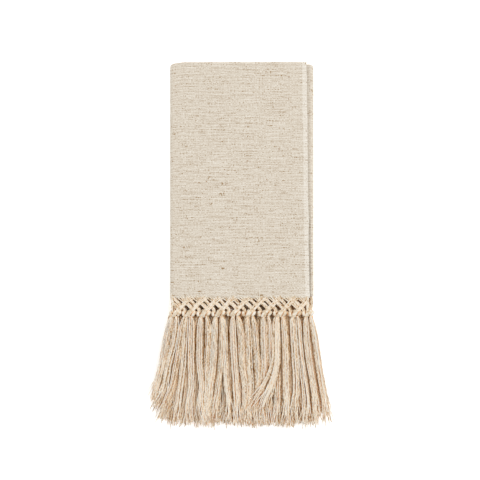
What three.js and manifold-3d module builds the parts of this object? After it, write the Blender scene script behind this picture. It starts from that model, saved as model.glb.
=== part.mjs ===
// A folded guest towel of slub cotton with a knotted heading and a long tassel fringe at both ends.
// It is doubled end to end, so both fringes lie together, and then folded in three like a letter Z.
// Millimetres. +X is the towel's right, +Y is away from the fringe, and +Z is up from the surface.
import * as THREE from 'three';
import Module from 'manifold-3d';

// ---- The cloth as woven
const CLOTH_WIDTH = 380; // selvedge to selvedge
const CLOTH_THICKNESS = 1.3;
const FOLD_ALLOWANCE = 8; // cloth that each lengthwise fold takes up
const PANEL_WIDTH = (CLOTH_WIDTH - 2 * FOLD_ALLOWANCE) / 3;

// ---- The folded outline, seen from above
const TOP_Y = 161.9; // the crosswise fold
const LEFT_EDGE = -63.2; // outside of the left fold
const RIGHT_EDGE = 64.5; // outside of the right fold
const SELVEDGE_TOP = 58.3; // the free edge of the top panel, at the crosswise fold
const SELVEDGE_END = 61.0; // and at the fringe
const CLOTH_END = 209; // from the crosswise fold to where the weave stops
const WAVE = 0.035; // how uneven the stack is, as a share of its height

// ---- The heading and the fringe
const GAP = 0.35; // between neighbouring layers and strands
const STRIP_START = CLOTH_END + GAP; // the last woven picks, where the warp is gathered
const STRIP_END = 212.2;
const STRIP_THICKNESS = 1.5;
const BAND_START = 210.3;
const BAND_WIDTH = 3.6; // a band is two or three warp cords side by side
const BAND_THICKNESS = 0.9;
const BAND_OFFSET = 0.62; // the two directions pass over each other at this height
const BAND_TRAVEL = 16.6; // sideways, from the weave to the knot
const HIDDEN_TRAVEL = 8.2; // the same in the layers underneath
const KNOT_DOWN = 223.8; // middle of the knot row
const KNOT_HALF_HEIGHT = 3.5;
const KNOT_HALF_WIDTH = 5.7;
const KNOT_UNDER = 1.3;
const KNOT_TOP_SHOWN = 2.0;
const ROOT_DOWN = 225.5;

// Height of the stack along the towel: pitch is from one layer to the next,
// seat is the height of the lowest layer's middle, so that its underside lies on the surface.
const STACK = [
  { down: 0, pitch: 1.8, seat: 0.65 },
  { down: 150, pitch: 1.8, seat: 0.65 },
  { down: 180, pitch: 1.98, seat: 0.65 },
  { down: CLOTH_END, pitch: 2.45, seat: 0.65 },
  { down: STRIP_START, pitch: 2.46, seat: 0.75 },
  { down: 211.6, pitch: 2.55, seat: 0.75 },
  { down: 214, pitch: 2.7, seat: 1.07 },
  { down: 220, pitch: 2.95, seat: 1.3 },
  { down: 228, pitch: 2.95, seat: 1.3 },
  { down: 245, pitch: 2.6, seat: 1.125 },
  { down: 280, pitch: 2.2, seat: 0.925 },
  { down: 325, pitch: 1.9, seat: 0.775 },
];

// How far each part of the doubled cloth sits below the top panel's end, at the crosswise fold.
const DROP = [
  { across: 0, drop: 1.7 },
  { across: PANEL_WIDTH, drop: 1.7 },
  { across: PANEL_WIDTH + FOLD_ALLOWANCE / 2, drop: 3.2 },
  { across: PANEL_WIDTH + FOLD_ALLOWANCE, drop: 1.7 },
  { across: 2 * PANEL_WIDTH + FOLD_ALLOWANCE, drop: 1.7 },
  { across: 2 * PANEL_WIDTH + 1.5 * FOLD_ALLOWANCE, drop: 2.7 },
  { across: 2 * PANEL_WIDTH + 2 * FOLD_ALLOWANCE, drop: 1.3 },
  { across: 2 * PANEL_WIDTH + 2 * FOLD_ALLOWANCE + 9, drop: 0 },
  { across: CLOTH_WIDTH, drop: 0 },
];

// Knots of the layer that shows. The first sits on the shoulder of the left fold and is narrow.
const SHOWN_KNOTS = [
  { x: -58.5, halfWidth: 4.3 },
  { x: -46.4, halfWidth: KNOT_HALF_WIDTH },
  { x: -33.3, halfWidth: KNOT_HALF_WIDTH },
  { x: -20.4, halfWidth: KNOT_HALF_WIDTH },
  { x: -7.1, halfWidth: KNOT_HALF_WIDTH },
  { x: 6.9, halfWidth: KNOT_HALF_WIDTH },
  { x: 20.8, halfWidth: KNOT_HALF_WIDTH },
  { x: 34.4, halfWidth: KNOT_HALF_WIDTH },
  { x: 47.5, halfWidth: KNOT_HALF_WIDTH },
  { x: 59.1, halfWidth: 5.0 },
];

// Tassel bundles of the layer that shows: where each lies at the knot, at 248, at 289 and at its tip,
// how far down it ends, how many locks it parts into, and how high it is thrown over the others.
const BUNDLES = [
  { root: -60.6, upper: -66.0, middle: -75.0, tip: -79.3, end: 302, locks: 2, lift: 0 },
  { root: -55.9, upper: -59.6, middle: -67.6, tip: -73.6, end: 308, locks: 2, lift: 0 },
  { root: -50.6, upper: -53.2, middle: -61.4, tip: -70.6, end: 318, locks: 2, lift: 0 },
  { root: -47.7, upper: -49.6, middle: -54.2, tip: -60.3, end: 321, locks: 2, lift: 0 },
  { root: -43.4, upper: -44.1, middle: -45.4, tip: -48.6, end: 321, locks: 2, lift: 0 },
  { root: -36.0, upper: -36.5, middle: -37.4, tip: -38.4, end: 323, locks: 2, lift: 0 },
  { root: -30.2, upper: -29.8, middle: -31.8, tip: -32.6, end: 322, locks: 2, lift: 0 },
  { root: -23.1, upper: -23.9, middle: -26.8, tip: -28.0, end: 323, locks: 2, lift: 0 },
  { root: -18.4, upper: -18.2, middle: -20.3, tip: -22.6, end: 321, locks: 2, lift: 0 },
  { root: -15.0, upper: -14.2, middle: -12.6, tip: -11.2, end: 322, locks: 2, lift: 0 },
  { root: -8.4, upper: -7.0, middle: -4.6, tip: -4.2, end: 322, locks: 2, lift: 0 },
  { root: -2.8, upper: 0.3, middle: 2.8, tip: 3.0, end: 323, locks: 2, lift: 0 },
  { root: 4.6, upper: 6.6, middle: 8.6, tip: 9.2, end: 322, locks: 2, lift: 0 },
  { root: 10.4, upper: 12.8, middle: 14.2, tip: 14.2, end: 323, locks: 2, lift: 0 },
  { root: 19.0, upper: 19.8, middle: 19.6, tip: 18.9, end: 322, locks: 2, lift: 0 },
  { root: 24.2, upper: 25.2, middle: 25.4, tip: 24.0, end: 323, locks: 2, lift: 0 },
  { root: 31.0, upper: 31.0, middle: 21.6, tip: 9.8, end: 306, locks: 2, lift: 2.6, half: 1.8 },
  { root: 34.2, upper: 34.2, middle: 33.0, tip: 30.6, end: 323, locks: 1, lift: 0, half: 1.3 },
  { root: 38.0, upper: 39.3, middle: 40.7, tip: 39.6, end: 324, locks: 2, lift: 0 },
  { root: 45.4, upper: 46.6, middle: 48.8, tip: 48.2, end: 323, locks: 2, lift: 0 },
  { root: 50.2, upper: 52.0, middle: 56.2, tip: 57.4, end: 324, locks: 2, lift: 0 },
  { root: 56.8, upper: 58.8, middle: 64.4, tip: 67.2, end: 324, locks: 2, lift: 0 },
  { root: 61.6, upper: 65.6, middle: 72.0, tip: 76.4, end: 322, locks: 2, lift: 0 },
];
const UPPER_DOWN = 248;
const MIDDLE_DOWN = 289;

// The layers from the surface up. The back half of the towel lies outermost at the bottom,
// and the front half outermost on top. Each hidden layer has its knots a little out of step.
const LAYERS = [
  { level: 0, fringe: 'back', firstKnot: -54.0, knotStep: 22.0, fan: 1.13 },
  { level: 1, fringe: 'front', firstKnot: -56.0, knotStep: 22.2, fan: 1.1 },
  { level: 2, fringe: 'front', firstKnot: -53.0, knotStep: 22.0, fan: 1.14 },
  { level: 3, fringe: 'back', firstKnot: -53.6, knotStep: 22.5, fan: 1.12 },
  { level: 4, fringe: 'back', firstKnot: -55.6, knotStep: 21.8, fan: 1.15 },
];
const SHOWN_LEVEL = 5;
const HIDDEN_KNOTS = 6;
const LOCKS_PER_HIDDEN_KNOT = 3;

// ---- Small helpers
const lerp = THREE.MathUtils.lerp;
const clamp = THREE.MathUtils.clamp;

function readTable(table, key, at, column) {
  const last = table.length - 1;
  if (at <= table[0][key]) return table[0][column];
  if (at >= table[last][key]) return table[last][column];
  const next = table.findIndex((row) => row[key] > at);
  const before = table[next - 1];
  const after = table[next];
  const share = (at - before[key]) / (after[key] - before[key]);
  return lerp(before[column], after[column], share);
}

const pitchAt = (down) => readTable(STACK, 'down', down, 'pitch');
const seatAt = (down) => readTable(STACK, 'down', down, 'seat');

// The stack is a few per cent fuller here and thinner there, and even again at the heading.
function fullness(x, down) {
  const fade = clamp((CLOTH_END - 12 - down) / 60, 0, 1);
  return 1 + WAVE * fade * Math.sin(x / 21 + 0.7) * Math.sin(down / 33 + 1.2);
}

const heightOf = (level, down) => seatAt(down) + level * pitchAt(down);
const leftCentre = (down) => LEFT_EDGE + 1.5 * pitchAt(down) + CLOTH_THICKNESS / 2;
const rightCentre = (down) => RIGHT_EDGE - 1.5 * pitchAt(down) - CLOTH_THICKNESS / 2;
const selvedge = (down) => lerp(SELVEDGE_TOP, SELVEDGE_END, clamp(down / CLOTH_END, 0, 1));

// A point of one layer's flat part: x and down in the towel's plane, rise from the layer's middle.
function lay(level, x, down, rise) {
  const height = (heightOf(level, down) + rise) * fullness(x, down);
  return [x, TOP_Y - down, height];
}

// A point of the doubled cloth: across from the hidden selvedge to the one that shows,
// down from the crosswise fold, and rise from between its two halves towards the front half.
function place(across, down, rise) {
  const pitch = pitchAt(down);
  const bottom = seatAt(down) + pitch / 2;
  const left = leftCentre(down);
  const right = rightCentre(down);
  const turns = [PANEL_WIDTH, PANEL_WIDTH + FOLD_ALLOWANCE];
  turns.push(turns[1] + PANEL_WIDTH, turns[1] + PANEL_WIDTH + FOLD_ALLOWANCE);
  let x;
  let z;
  if (across <= turns[0]) {
    x = right - (turns[0] - across);
    z = bottom + rise;
  } else if (across < turns[1]) {
    const angle = Math.PI * ((across - turns[0]) / FOLD_ALLOWANCE - 0.5);
    x = right + (pitch - rise) * Math.cos(angle);
    z = bottom + pitch + (pitch - rise) * Math.sin(angle);
  } else if (across <= turns[2]) {
    x = lerp(right, left, (across - turns[1]) / PANEL_WIDTH);
    z = bottom + 2 * pitch - rise;
  } else if (across < turns[3]) {
    const angle = Math.PI * ((across - turns[2]) / FOLD_ALLOWANCE - 0.5);
    x = left - (pitch + rise) * Math.cos(angle);
    z = bottom + 3 * pitch + (pitch + rise) * Math.sin(angle);
  } else {
    x = lerp(left, selvedge(down), (across - turns[3]) / PANEL_WIDTH);
    z = bottom + 4 * pitch + rise;
  }
  const drop = readTable(DROP, 'across', across, 'drop') * clamp(1 - down / CLOTH_END, 0, 1);
  return [x, TOP_Y - down - drop, z * fullness(x, down)];
}

// ---- Solids from rows of points
function geometryOf(points, triangles) {
  let volume = 0;
  for (const [a, b, c] of triangles) {
    const [p, q, r] = [points[a], points[b], points[c]];
    volume += p[0] * (q[1] * r[2] - q[2] * r[1]) + p[1] * (q[2] * r[0] - q[0] * r[2]);
    volume += p[2] * (q[0] * r[1] - q[1] * r[0]);
  }
  const facing = volume < 0 ? triangles.map(([a, b, c]) => [a, c, b]) : triangles;
  const geometry = new THREE.BufferGeometry();
  geometry.setAttribute('position', new THREE.Float32BufferAttribute(points.flat(), 3));
  geometry.setIndex(facing.flat());
  return geometry;
}

// A closed form through rings of equally many points.
function loft(rings) {
  const sides = rings[0].length;
  const points = rings.flat();
  const triangles = [];
  for (let ring = 0; ring + 1 < rings.length; ring++) {
    for (let side = 0; side < sides; side++) {
      const a = ring * sides + side;
      const b = ring * sides + ((side + 1) % sides);
      triangles.push([a, b, b + sides], [a, b + sides, a + sides]);
    }
  }
  const end = (rings.length - 1) * sides;
  for (let side = 1; side + 1 < sides; side++) {
    triangles.push([0, side + 1, side], [end, end + side, end + side + 1]);
  }
  return geometryOf(points, triangles);
}

// A sheet with a face on each side and a rim all round. face is +1 or -1.
function sheet(columns, rows, pointAt) {
  const points = [];
  for (const face of [1, -1]) {
    for (const row of rows) {
      for (const column of columns) points.push(pointAt(column, row, face));
    }
  }
  const wide = columns.length;
  const tall = rows.length;
  const other = wide * tall;
  const triangles = [];
  for (let r = 0; r + 1 < tall; r++) {
    for (let c = 0; c + 1 < wide; c++) {
      const a = r * wide + c;
      const b = a + 1;
      const d = a + wide;
      const e = d + 1;
      triangles.push([a, b, e], [a, e, d]);
      triangles.push([a + other, e + other, b + other], [a + other, d + other, e + other]);
    }
  }
  const rim = (a, b) => triangles.push([b, a, a + other], [b, a + other, b + other]);
  for (let c = 0; c + 1 < wide; c++) {
    rim(c, c + 1);
    rim((tall - 1) * wide + c + 1, (tall - 1) * wide + c);
  }
  for (let r = 0; r + 1 < tall; r++) {
    rim((r + 1) * wide, r * wide);
    rim(r * wide + wide - 1, (r + 1) * wide + wide - 1);
  }
  return geometryOf(points, triangles);
}

function steps(from, to, count) {
  return Array.from({ length: count + 1 }, (_, n) => lerp(from, to, n / count));
}

function acrossStations(panelSteps, foldSteps) {
  const turn1 = PANEL_WIDTH;
  const turn2 = turn1 + FOLD_ALLOWANCE;
  const turn3 = turn2 + PANEL_WIDTH;
  const turn4 = turn3 + FOLD_ALLOWANCE;
  return [
    ...steps(0, turn1, panelSteps.bottom).slice(0, -1),
    ...steps(turn1, turn2, foldSteps).slice(0, -1),
    ...steps(turn2, turn3, panelSteps.middle).slice(0, -1),
    ...steps(turn3, turn4, foldSteps).slice(0, -1),
    turn4,
    turn4 + 9,
    ...steps(turn4 + 9, CLOTH_WIDTH, panelSteps.top).slice(1),
  ];
}

// ---- The cloth: front half, crosswise fold and back half in one sheet
function towelCloth() {
  const bend = pitchAt(0) / 2 + CLOTH_THICKNESS / 2; // how far the crosswise fold reaches out
  const downs = [CLOTH_END, 195, 180, 150, 118, 84, 50, 18, bend];
  const rows = downs.map((down) => ({ down, half: 1 }));
  for (const angle of steps(Math.PI / 2, -Math.PI / 2, 6).slice(1, -1)) rows.push({ angle });
  rows.push(...downs.map((down) => ({ down, half: -1 })).reverse());
  return sheet(acrossStations({ bottom: 4, middle: 4, top: 6 }, 6), rows, (across, row, face) => {
    if (row.half) {
      const rise = row.half * (pitchAt(row.down) / 2 + (face * CLOTH_THICKNESS) / 2);
      return place(across, row.down, rise);
    }
    const radius = pitchAt(0) / 2 + (face * CLOTH_THICKNESS) / 2;
    return place(across, bend - radius * Math.cos(row.angle), radius * Math.sin(row.angle));
  });
}

// ---- The heading
function headingStrip(half) {
  const rows = [STRIP_START, STRIP_END];
  return sheet(acrossStations({ bottom: 2, middle: 2, top: 2 }, 6), rows, (across, down, face) =>
    place(across, down, (half * pitchAt(down)) / 2 + (face * STRIP_THICKNESS) / 2),
  );
}

// A band of warp cords from the weave to a knot. side is +1 where it lies above the other bands.
function band(level, rootX, knotX, side, shares) {
  const drop = KNOT_DOWN - BAND_START;
  const halfWidth = ((BAND_WIDTH / 2) * Math.hypot(knotX - rootX, drop)) / drop;
  const half = BAND_THICKNESS / 2;
  return loft(
    shares.map((share) => {
      const x = lerp(rootX, knotX, share);
      const down = lerp(BAND_START, KNOT_DOWN, share);
      const middle = side * BAND_OFFSET * clamp((down - 211.2) / 2.6, 0, 1);
      return [
        lay(level, x - halfWidth, down, middle - half),
        lay(level, x + halfWidth, down, middle - half),
        lay(level, x + halfWidth, down, middle + half),
        lay(level, x - halfWidth, down, middle + half),
      ];
    }),
  );
}

// A knot: a lobe of cords left and right, and a wrap drawn slantwise round its middle.
const KNOT_SECTIONS = [
  { along: -1, size: 0.5, slant: 0 },
  { along: -0.68, size: 0.96, slant: 0.1 },
  { along: -0.34, size: 0.76, slant: 0.3 },
  { along: -0.12, size: 1, slant: 0.42 },
  { along: 0.12, size: 1, slant: 0.42 },
  { along: 0.34, size: 0.76, slant: 0.3 },
  { along: 0.68, size: 0.96, slant: 0.1 },
  { along: 1, size: 0.5, slant: 0 },
];
const HIDDEN_KNOT_SECTIONS = [
  { along: -1, size: 0.5, slant: 0 },
  { along: -0.6, size: 1, slant: 0 },
  { along: 0, size: 0.8, slant: 0.3 },
  { along: 0.6, size: 1, slant: 0 },
  { along: 1, size: 0.5, slant: 0 },
];

function knot(level, x, halfWidth, top, sections, sides) {
  const flat = 1 / Math.cos(Math.PI / sides); // brings a flat side, not a corner, to top and bottom
  return loft(
    sections.map(({ along, size, slant }) =>
      Array.from({ length: sides }, (_, n) => {
        const angle = (2 * Math.PI * (n + 0.5)) / sides - Math.PI / 2;
        const downward = KNOT_HALF_HEIGHT * size * Math.cos(angle);
        const reach = Math.sin(angle) > 0 ? top : KNOT_UNDER;
        const rise = reach * size * flat * Math.sin(angle);
        return lay(level, x + halfWidth * along + slant * downward, KNOT_DOWN + downward, rise);
      }),
    ),
  );
}

// ---- The fringe
// A value that passes through the bundle's four stations on a smooth course.
function courseOf(bundle, down) {
  const at = [ROOT_DOWN, UPPER_DOWN, MIDDLE_DOWN, Math.max(bundle.end, 318)];
  const x = [bundle.root, bundle.upper, bundle.middle, bundle.tip];
  if (bundle.lift > 0) at[3] = bundle.end;
  const here = clamp(down, at[0], at[3]);
  const n = here >= at[2] ? 2 : here >= at[1] ? 1 : 0;
  const slope = (k) => {
    const a = Math.max(k - 1, 0);
    const b = Math.min(k + 1, 3);
    return (x[b] - x[a]) / (at[b] - at[a]);
  };
  const span = at[n + 1] - at[n];
  const t = (here - at[n]) / span;
  const [t2, t3] = [t * t, t * t * t];
  return (
    (2 * t3 - 3 * t2 + 1) * x[n] +
    (t3 - 2 * t2 + t) * span * slope(n) +
    (3 * t2 - 2 * t3) * x[n + 1] +
    (t3 - t2) * span * slope(n + 1)
  );
}

const ordered = BUNDLES.filter((bundle) => bundle.lift === 0);

// How far a bundle spreads to each side: up to halfway to its neighbour.
function spreadOf(bundle, down) {
  const widest = (bundle.half ?? 2.75) + 2.4 * clamp((down - 228) / 92, 0, 1);
  if (bundle.lift > 0) return { left: widest, right: widest };
  const here = courseOf(bundle, down);
  const n = ordered.indexOf(bundle);
  const before = ordered[n - 1];
  const after = ordered[n + 1];
  const left = before ? (here - courseOf(before, down)) / 2 : widest;
  const right = after ? (courseOf(after, down) - here) / 2 : widest;
  return { left: Math.min(left, widest), right: Math.min(right, widest) };
}

const unevenEnd = (n) => 2.2 * Math.abs(Math.sin(2.4 * n + 0.8));

// A lock of the layer that shows has four sides, narrower above than below, so that it looks full.
function shownLock(bundle, index, number) {
  const end = bundle.end - unevenEnd(number);
  const downs = [ROOT_DOWN, 233, UPPER_DOWN, 268, MIDDLE_DOWN, end];
  return loft(
    downs.map((down) => {
      const spread = spreadOf(bundle, down);
      const share = (spread.left + spread.right) / bundle.locks;
      const x = courseOf(bundle, down) - spread.left + share * (index + 0.5);
      const thrown = THREE.MathUtils.smoothstep(down, 234, 264) * Math.sign(bundle.lift);
      const tip = down === end ? 0.6 : 1;
      const half = ((share - GAP) / 2) * tip;
      const thick = ((pitchAt(down) - GAP) / 2) * tip * (1 - 0.3 * thrown);
      const raised = bundle.lift * thrown;
      const ridge = x + 0.16 * half * (index % 2 === 0 ? 1 : -1); // leans to the bundle's middle
      return [
        lay(SHOWN_LEVEL, x - half, down, raised - thick),
        lay(SHOWN_LEVEL, x + half, down, raised - thick),
        lay(SHOWN_LEVEL, ridge + 0.68 * half, down, raised + thick + 0.35),
        lay(SHOWN_LEVEL, ridge - 0.68 * half, down, raised + thick + 0.35),
      ];
    }),
  );
}

// A lock of a hidden layer has three sides, and lies on the flat one.
function hiddenLock(layer, knotX, index, number) {
  const count = HIDDEN_KNOTS * LOCKS_PER_HIDDEN_KNOT;
  const shift = (index - (LOCKS_PER_HIDDEN_KNOT - 1) / 2) / LOCKS_PER_HIDDEN_KNOT;
  const rootX = knotX + shift * 2 * KNOT_HALF_WIDTH * 0.86;
  const tipX = (knotX + shift * layer.knotStep) * layer.fan + 1.2 * Math.sin(number * 1.7);
  const outer = Math.abs(tipX) / 70;
  const end = 322.5 - unevenEnd(number + layer.level) - 9 * Math.max(0, outer - 0.82) * 4;
  const tipHalf = (layer.knotStep * HIDDEN_KNOTS * layer.fan) / count / 2 - 0.9;
  return loft(
    [ROOT_DOWN, 250, end].map((down) => {
      const share = (down - ROOT_DOWN) / (end - ROOT_DOWN);
      const x = lerp(rootX, tipX, Math.pow(share, 0.7));
      const half = lerp(1.4, tipHalf, Math.pow(share, 0.6));
      const thick = (pitchAt(down) - GAP) / 2;
      // the long facets stand above the layer's curve, so the ridge under the layer that shows is lower
      const eased = layer.level === SHOWN_LEVEL - 1 && down > ROOT_DOWN ? 0.3 : 0;
      return [
        lay(layer.level, x - half, down, -thick),
        lay(layer.level, x + half, down, -thick),
        lay(layer.level, x, down, thick - eased),
      ];
    }),
  );
}

// ---- Everything that grows out of one end of the cloth, fused to its strip
function shownLayerPieces() {
  const pieces = [];
  const shares = [0, 0.28, 1];
  const rightmost = SELVEDGE_END - 3;
  for (const { x, halfWidth } of SHOWN_KNOTS) {
    pieces.push(band(SHOWN_LEVEL, Math.min(x + BAND_TRAVEL, rightmost), x, 1, shares));
    pieces.push(band(SHOWN_LEVEL, Math.max(x - BAND_TRAVEL, LEFT_EDGE + 6), x, -1, shares));
    pieces.push(knot(SHOWN_LEVEL, x, halfWidth, KNOT_TOP_SHOWN, KNOT_SECTIONS, 8));
  }
  let number = 0;
  for (const bundle of BUNDLES) {
    for (let index = 0; index < bundle.locks; index++) {
      number += 1;
      pieces.push(shownLock(bundle, index, number));
    }
  }
  return pieces;
}

function hiddenLayerPieces(layer) {
  const pieces = [];
  const shares = [0, 0.3, 1];
  for (let n = 0; n < HIDDEN_KNOTS; n++) {
    const x = layer.firstKnot + n * layer.knotStep;
    const leftRoot = Math.max(x - HIDDEN_TRAVEL, LEFT_EDGE + 6);
    const rightRoot = Math.min(x + HIDDEN_TRAVEL, SELVEDGE_END - 3);
    pieces.push(band(layer.level, rightRoot, x, 1, shares));
    pieces.push(band(layer.level, leftRoot, x, -1, shares));
    pieces.push(knot(layer.level, x, KNOT_HALF_WIDTH, KNOT_UNDER, HIDDEN_KNOT_SECTIONS, 6));
    for (let index = 0; index < LOCKS_PER_HIDDEN_KNOT; index++) {
      pieces.push(hiddenLock(layer, x, index, n * LOCKS_PER_HIDDEN_KNOT + index));
    }
  }
  return pieces;
}

const wasm = await Module();
wasm.setup();

function fuse(geometries) {
  const solids = geometries.map((geometry) => {
    const mesh = new wasm.Mesh({
      numProp: 3,
      vertProperties: new Float32Array(geometry.getAttribute('position').array),
      triVerts: new Uint32Array(geometry.getIndex().array),
    });
    return new wasm.Manifold(mesh);
  });
  const whole = solids.reduce((sum, solid) => sum.add(solid));
  const { vertProperties, triVerts } = whole.getMesh();
  const geometry = new THREE.BufferGeometry();
  geometry.setAttribute('position', new THREE.Float32BufferAttribute(vertProperties, 3));
  geometry.setIndex(new THREE.Uint32BufferAttribute(triVerts, 1));
  return geometry;
}

function fringe(name) {
  const pieces = [headingStrip(name === 'front' ? 1 : -1)];
  for (const layer of LAYERS) {
    if (layer.fringe === name) pieces.push(...hiddenLayerPieces(layer));
  }
  if (name === 'front') pieces.push(...shownLayerPieces());
  return fuse(pieces);
}

// ---- The towel
function cotton(color, roughness) {
  return new THREE.MeshStandardMaterial({ color, roughness, metalness: 0 });
}

function named(name, geometry, material) {
  geometry.computeVertexNormals();
  const mesh = new THREE.Mesh(geometry, material);
  mesh.name = name;
  return mesh;
}

const towel = new THREE.Group();
towel.name = 'folded_guest_towel';
towel.add(named('towel_cloth', towelCloth(), cotton('#dcd1c1', 0.93)));
towel.add(named('front_fringe', fringe('front'), cotton('#e0cdb6', 0.95)));
towel.add(named('back_fringe', fringe('back'), cotton('#d8c3a8', 0.95)));

export default towel;
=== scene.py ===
# %% [markdown]
# # A folded guest towel with a knotted fringe
# The real towel is one length of slub cotton, woven on a hand loom, about 38 cm wide and 42 cm long.
# At both ends the warp is left long, crossed in a lattice, tied in a row of knots and hung as tassels.
# It is doubled end to end and then folded in three, and it lies flat, seen from straight above.
# The frame is the same towel as plain solids. Each of them is replaced here by cloth, cord and yarn.

# %% Load the frame
import math
import bpy
import numpy as np
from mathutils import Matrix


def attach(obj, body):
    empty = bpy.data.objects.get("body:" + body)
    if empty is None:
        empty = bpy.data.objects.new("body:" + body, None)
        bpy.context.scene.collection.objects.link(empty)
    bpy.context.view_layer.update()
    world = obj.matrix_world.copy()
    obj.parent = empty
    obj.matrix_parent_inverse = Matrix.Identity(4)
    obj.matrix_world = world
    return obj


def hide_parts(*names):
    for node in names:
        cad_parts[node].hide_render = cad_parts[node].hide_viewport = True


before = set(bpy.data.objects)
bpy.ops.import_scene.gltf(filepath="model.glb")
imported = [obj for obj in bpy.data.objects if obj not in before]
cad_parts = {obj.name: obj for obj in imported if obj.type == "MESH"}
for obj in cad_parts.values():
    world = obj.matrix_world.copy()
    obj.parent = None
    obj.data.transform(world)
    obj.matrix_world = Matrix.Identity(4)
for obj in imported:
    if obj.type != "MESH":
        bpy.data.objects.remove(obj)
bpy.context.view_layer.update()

# %% [markdown]
# ## The camera
# The camera looks straight down from a point 3.3 mm beyond the towel's middle and 0.9 mm to its left, as in
# the photo. Its view is 427 mm wide at the height of the top layer. A long lens keeps the sides from showing.

# %% Camera
MM = 0.001
VIEW_WIDTH = 427.2
LENS = 100.0
SENSOR = 36.0
TOP_LAYER = 10.0
CAMERA_X = -0.9
CAMERA_Y = 3.3
view_height = TOP_LAYER + VIEW_WIDTH * LENS / SENSOR

camera_data = bpy.data.cameras.new("overhead_camera")
camera_data.lens = LENS
camera_data.sensor_width = SENSOR
camera_data.clip_end = 20
camera = bpy.data.objects.new("overhead_camera", camera_data)
camera.location = (CAMERA_X * MM, CAMERA_Y * MM, view_height * MM)
bpy.context.scene.collection.objects.link(camera)
bpy.context.scene.camera = camera
bpy.context.scene.view_settings.view_transform = "Standard"
print("camera height in metres:", round(view_height * MM, 3))

# %% [markdown]
# ## The light
# A studio shot of cloth is lit by big soft boxes. A white world gives the light from all round,
# and one large soft box, a little to the right and beyond the fold, gives the threads their relief.

# %% Light
SOFT_BOX_PLACE = (1.3, 1.4, 2.5)

world = bpy.data.worlds.new("white_studio")
bpy.context.scene.world = world
world.use_nodes = True
world.node_tree.nodes["Background"].inputs["Color"].default_value = (1.0, 0.99, 0.975, 1.0)
world.node_tree.nodes["Background"].inputs["Strength"].default_value = 1.05

soft_box_data = bpy.data.lights.new("soft_box", "AREA")
soft_box_data.shape = "RECTANGLE"
soft_box_data.size = 2.0
soft_box_data.size_y = 1.5
soft_box_data.energy = 38.0
soft_box_data.color = (1.0, 0.975, 0.945)
soft_box = bpy.data.objects.new("soft_box", soft_box_data)
soft_box.location = SOFT_BOX_PLACE
to_right, beyond, above = SOFT_BOX_PLACE
soft_box.rotation_euler = (-math.atan2(beyond, above), math.atan2(to_right, above), 0)
bpy.context.scene.collection.objects.link(soft_box)
print("soft box at", tuple(round(v, 2) for v in soft_box.location))

# %% [markdown]
# ## Helpers for materials
# Colours are noted as they look on a screen, in sRGB hex, and a shader wants them linear.
# One function adds a node, gives it its settings and links its inputs.

# %% Material helpers
def linear(hex_colour):
    parts = [int(hex_colour[n:n + 2], 16) / 255 for n in (1, 3, 5)]
    return tuple(c / 12.92 if c <= 0.04045 else ((c + 0.055) / 1.055) ** 2.4 for c in parts) + (1.0,)


def add_node(tree, kind, settings=None, values=None, links=None):
    node = tree.nodes.new(kind)
    for name, value in (settings or {}).items():
        setattr(node, name, value)
    for name, value in (values or {}).items():
        node.inputs[name].default_value = value
    for name, (source, output) in (links or {}).items():
        tree.links.new(source.outputs[output], node.inputs[name])
    return node


def fill_ramp(ramp_node, stops):
    """Gives a colour ramp its stops: a position and a colour each."""
    elements = ramp_node.color_ramp.elements
    for n, (position, shade) in enumerate(stops):
        stop = elements[n] if n < 2 else elements.new(position)
        stop.position = position
        stop.color = linear(shade)


def start_material(name, roughness, sheen):
    material = bpy.data.materials.new(name)
    material.use_nodes = True
    shader = material.node_tree.nodes["Principled BSDF"]
    shader.inputs["Roughness"].default_value = roughness
    shader.inputs["IOR"].default_value = 1.5
    shader.inputs["Specular IOR Level"].default_value = 0.2
    shader.inputs["Sheen Weight"].default_value = sheen
    shader.inputs["Sheen Roughness"].default_value = 0.5
    return material, material.node_tree, shader


print("cotton cream in linear light:", [round(c, 3) for c in linear("#dcd1c1")])

# %% [markdown]
# ## The floor
# A matt white board, lit a little from below as photographers do to keep shadows faint.
# It isn't part of the towel.

# %% Floor
floor_mesh = bpy.data.meshes.new("white_board")
floor_mesh.from_pydata([(-2, -2, 0), (2, -2, 0), (2, 2, 0), (-2, 2, 0)], [], [(0, 1, 2, 3)])
floor = bpy.data.objects.new("white_board", floor_mesh)
floor.location.z = -0.3 * MM
bpy.context.scene.collection.objects.link(floor)
board, board_tree, board_shader = start_material("matt_white_board", 0.9, 0.0)
board_grain = add_node(board_tree, "ShaderNodeTexNoise", values={"Scale": 40.0, "Detail": 2.0})
board_tone = add_node(
    board_tree,
    "ShaderNodeMix",
    {"data_type": "RGBA"},
    {"A": linear("#fafaf9"), "B": linear("#fdfdfc")},
    {"Factor": (board_grain, "Fac")},
)
board_tree.links.new(board_tone.outputs["Result"], board_shader.inputs["Base Color"])
board_shader.inputs["Emission Color"].default_value = (1.0, 1.0, 1.0, 1.0)
board_shader.inputs["Emission Strength"].default_value = 0.3
floor_mesh.materials.append(board)
print("floor at", floor.location.z)

# %% [markdown]
# ## How the towel is folded
# Six layers lie on each other. The lowest layer rests on the board, each next one lies a pitch higher,
# and the stack is thicker at the knots. All sizes are in millimetres: across runs from the hidden selvedge
# to the one that shows, down runs from the crosswise fold to the tips, and rise is measured from the middle
# of the doubled cloth. One function turns these three into a place on the folded cloth. Another gives
# a point of one flat layer, for cords, yarns and specks. Both take their heights from the same stack.

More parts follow.
